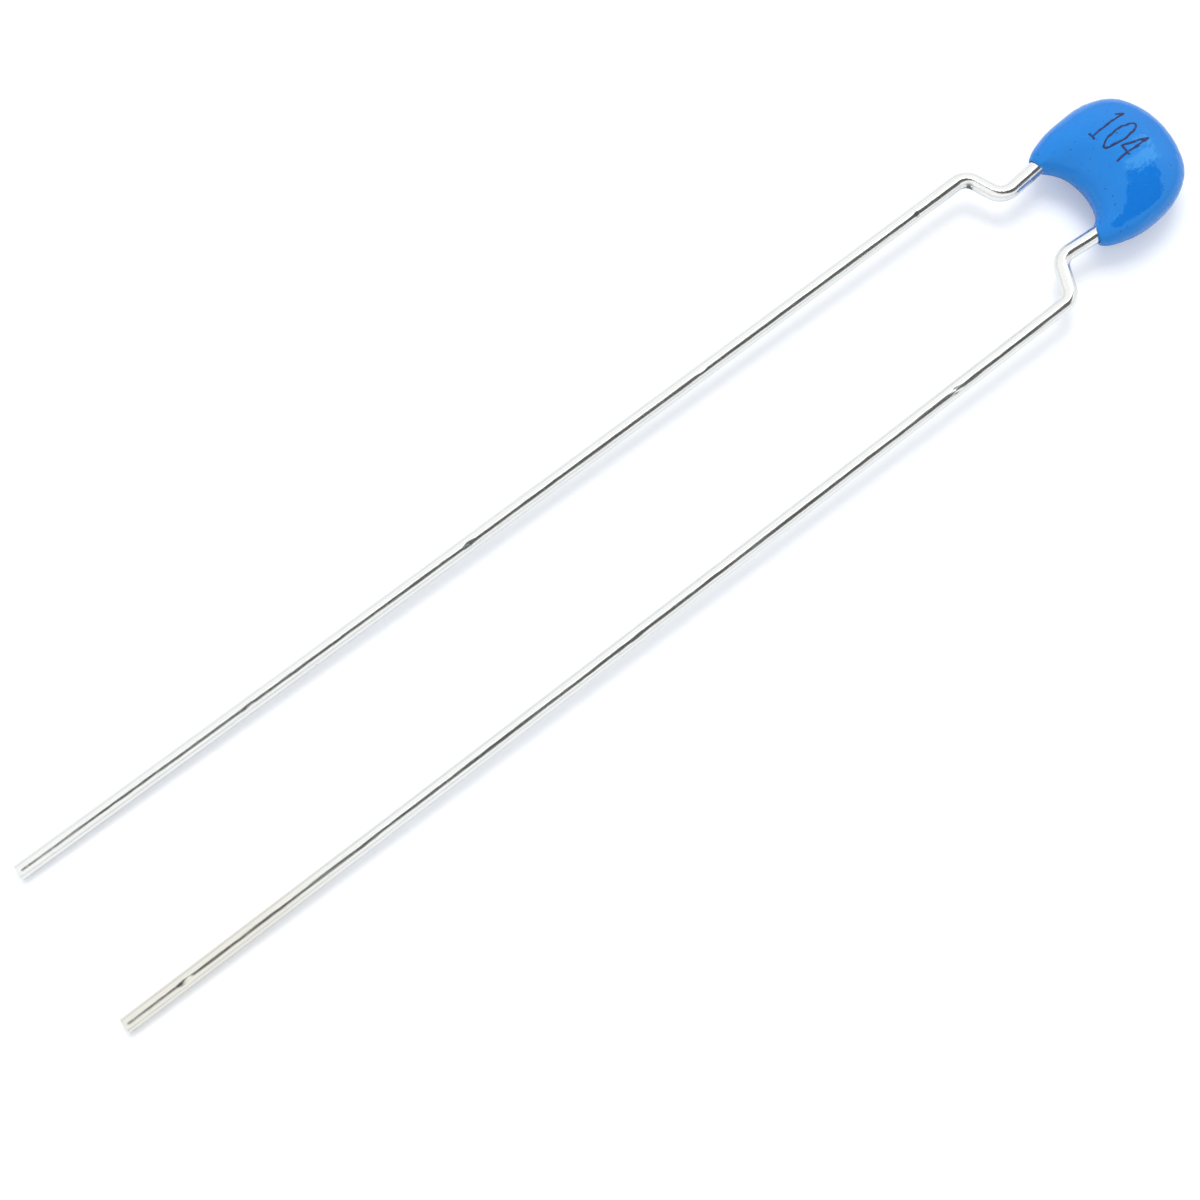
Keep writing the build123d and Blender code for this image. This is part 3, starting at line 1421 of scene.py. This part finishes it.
@dataclass(frozen=True)
class Card:
    """A flat card that hangs level over the object, seen in reflections only.

    Attributes:
        name: Its name.
        outline: Its corners, in metres from a point right over the head.
        shade: Its brightness.
        height: How high it hangs, in metres.
        over: The point of the floor that the corners are measured from, in metres.
    """

    name: str
    outline: tuple[tuple[float, float], ...]
    shade: float
    height: float = 0.24
    over: tuple[float, float] = (0.017, -0.001)

    def build(self) -> bpy.types.Object:
        """Cut the card out and hang it up.

        Returns:
            The card.
        """
        deselect()
        bpy.ops.mesh.primitive_circle_add(vertices=len(self.outline), fill_type="NGON")
        card = added(self.name)
        for vertex, (x, y) in zip(card.data.vertices, self.outline):
            vertex.co = (self.over[0] + x, self.over[1] + y, self.height)
        material = bpy.data.materials.new(self.name)
        graph = bare_graph(material)
        glow = graph.add("ShaderNodeEmission", {"Color": WHITE, "Strength": self.shade})
        graph.add("ShaderNodeOutputMaterial", {0: glow.outputs[0]})
        card.data.materials.append(material)
        card.visible_camera = False
        card.visible_shadow = False
        card.visible_diffuse = False
        return card


@dataclass(frozen=True)
class Camera:
    """The camera, at the photograph's viewing angle.

    Attributes:
        place: Where it stands, in millimetres.
        right: Its right-hand direction.
        up: Its upward direction.
        lens: Focal length in millimetres, for a 36 mm wide square picture.
    """

    place: tuple[float, float, float] = (-14.310, -16.274, 62.030)
    right: tuple[float, float, float] = (0.78654298, -0.61753554, 0.0)
    up: tuple[float, float, float] = (0.58909439, 0.75031804, 0.29998441)
    lens: float = 69.617

    def build(self) -> bpy.types.Object:
        """Set the camera up.

        Returns:
            The camera.
        """
        lens = bpy.data.cameras.new("camera")
        lens.sensor_width = 36.0
        lens.sensor_fit = "HORIZONTAL"
        lens.lens = self.lens
        lens.clip_start = 1.0 * MM
        lens.clip_end = 5.0
        camera = bpy.data.objects.new("camera", lens)
        right, up = Vector(self.right), Vector(self.up)
        turn = Matrix((right, up, right.cross(up))).transposed()
        camera.matrix_world = Matrix.Translation(Vector(self.place) * MM) @ turn.to_4x4()
        bpy.context.scene.collection.objects.link(camera)
        bpy.context.scene.camera = camera
        return camera


@dataclass(frozen=True)
class Studio:
    """The pale floor, the light and the cards around the object.

    Attributes:
        floor_side: Side of the floor, in metres.
        floor_tone: The floor's own colour.
        floor_lift: Brightness that the floor gains in the camera's eye alone.
        sky_light: The surroundings' light on the object.
        horizon: Their brightness at the horizon in gloss; it is 1 overhead.
        full_height: Height of a direction from which on it is 1.
        key_power: The lamp's power, in watts.
        key_colour: Its colour.
        key_place: Where it hangs, in metres.
        key_size: The length of its side, in metres.
        dark_shade: Brightness of the dark card.
        pale_shade: Brightness of the pale card.
    """

    floor_side: float = 1.2
    floor_tone: Colour = (0.85, 0.855, 0.865)
    floor_lift: float = 0.22
    sky_light: Colour = (0.73, 0.76, 0.80)
    horizon: float = 0.72
    full_height: float = 0.5
    key_power: float = 0.66
    key_colour: Colour = (1.0, 0.985, 0.96)
    key_place: tuple[float, float, float] = (0.07, 0.13, 0.34)
    key_size: float = 0.20
    dark_shade: float = 0.09
    pale_shade: float = 2.1

    def floor(self) -> None:
        """Lay the floor."""
        deselect()
        bpy.ops.mesh.primitive_plane_add(size=self.floor_side)
        floor = added("floor")
        material = bpy.data.materials.new("pale_floor")
        graph = bare_graph(material)
        paint = graph.add("ShaderNodeBsdfDiffuse", {"Color": self.floor_tone})
        seen = graph.add("ShaderNodeLightPath").outputs["Is Camera Ray"]
        glow = {"Color": WHITE, "Strength": graph.math("MULTIPLY", seen, self.floor_lift)}
        lift = graph.add("ShaderNodeEmission", glow)
        both = graph.add("ShaderNodeAddShader", {0: paint.outputs[0], 1: lift.outputs[0]})
        graph.add("ShaderNodeOutputMaterial", {0: both.outputs[0]})
        floor.data.materials.append(material)

    def surroundings(self) -> None:
        """Light the world: soft light on surfaces, white for the camera and for gloss."""
        world = bpy.data.worlds.new("surroundings")
        bpy.context.scene.world = world
        graph = bare_graph(world)
        path = graph.add("ShaderNodeLightPath").outputs
        plain = graph.math("MAXIMUM", path["Is Camera Ray"], path["Is Transmission Ray"])
        look = graph.add("ShaderNodeTexCoord").outputs["Generated"]
        upward = graph.add("ShaderNodeSeparateXYZ", {0: look}).outputs[2]
        rise = graph.span(upward, 0.0, self.full_height, self.horizon, 1.0)
        glossy = graph.mix(path["Is Glossy Ray"], self.sky_light, rise)
        tone = graph.mix(plain, glossy, WHITE)
        light = graph.add("ShaderNodeBackground", {"Color": tone, "Strength": 1.0})
        graph.add("ShaderNodeOutputWorld", {0: light.outputs[0]})

    def key(self) -> None:
        """Hang the lamp, a soft square above the +Y side."""
        lamp = bpy.data.lights.new("key_lamp", "AREA")
        lamp.shape = "SQUARE"
        lamp.size = self.key_size
        lamp.energy = self.key_power
        lamp.color = self.key_colour
        key = bpy.data.objects.new("key_lamp", lamp)
        key.location = self.key_place
        key.rotation_euler = (-Vector(self.key_place)).to_track_quat("-Z", "Y").to_euler()
        key.visible_glossy = False
        bpy.context.scene.collection.objects.link(key)

    def cards(self) -> None:
        """Hang up the cards that the metal and the gloss mirror."""
        dark = (
            (-0.033, 0.020), (0.078, -0.029), (0.125, -0.041), (0.218, -0.022), (0.230, -0.090),
            (0.300, -0.380), (0.160, -0.380), (0.040, -0.260), (-0.070, -0.120), (-0.080, -0.025),
            (-0.076, 0.030),
        )
        pale = (
            (-0.062, 0.043), (0.100, 0.028), (0.204, 0.044), (0.296, 0.058), (0.459, 0.078),
            (0.389, 0.030), (0.346, -0.025), (0.215, -0.005), (0.119, -0.030), (-0.020, 0.022),
        )
        Card("dark_card", dark, self.dark_shade).build()
        Card("pale_card", pale, self.pale_shade).build()

    def build(self) -> None:
        """Set up the whole studio."""
        self.floor()
        self.surroundings()
        self.key()
        self.cards()
        bpy.context.scene.view_settings.view_transform = "Standard"


def leads() -> tuple[Lead, Lead]:
    """The two leads with what is particular to each.

    Returns:
        The front lead and the back lead.
    """
    front = Lead(
        Side.FRONT,
        tip_x=0.04,
        kink_deg=70.0,
        dents=(
            Dent(33.22, -20.0, 0.16, 0.035),
            Dent(15.1, 104.0, 0.09, 0.045),
            Dent(14.95, 80.0, 0.06, 0.025),
            Dent(7.6, 118.0, 0.10, 0.016),
            Dent(23.5, 95.0, 0.12, 0.022),
            Dent(31.0, 80.0, 0.10, 0.018),
        ),
        stains=((33.22, 2.10, 0.24), (34.85, 1.15, 0.16)),
    )
    back = Lead(
        Side.BACK,
        tip_x=-0.04,
        kink_deg=64.5,
        dents=(
            Dent(28.72, 125.0, 0.06, 0.034),
            Dent(28.72, 98.0, 0.05, 0.030),
            Dent(28.95, 95.0, 0.06, 0.020),
            Dent(29.20, 128.0, 0.07, 0.024),
            Dent(29.45, 108.0, 0.06, 0.018),
            Dent(29.75, 126.0, 0.08, 0.020),
            Dent(30.9, 150.0, 0.10, 0.018),
            Dent(17.2, 100.0, 0.14, 0.020),
            Dent(8.4, 125.0, 0.12, 0.016),
            Dent(1.9, 112.0, 0.14, 0.034),
        ),
        stains=((28.87, -2.45, 0.10),),
        warm_tip=9.0,
    )
    return front, back


def main() -> None:
    """Build every piece around the frame, then the studio."""
    logging.basicConfig(level=logging.INFO, format="%(name)s: %(message)s")
    noise.seed_set(NOISE_SEED)
    front, back = leads()
    mounts = {mount["name"]: mount for mount in frame["record"]["mounts"]}
    mount = mounts[f"{front.node}_end"]
    posture = Posture.from_mount(mount, front.corners()[0])
    radius = mount["dims"]["r_mm"]
    for lead in (front, back):
        wire = lead.build(posture, radius)
        log.info("%s has %d faces", wire.name, len(wire.data.polygons))
    head = DippedHead().build(posture)
    log.info("%s has %d faces", head.name, len(head.data.polygons))
    InnerCell().dress()
    log.info("inner cell dressed")
    ink = Marking().build(posture, head)
    log.info("%s has %d faces", ink.name, len(ink.data.polygons))
    Studio().build()
    Camera().build()
    log.info("studio and camera ready")


if __name__ == "__main__":
    main()
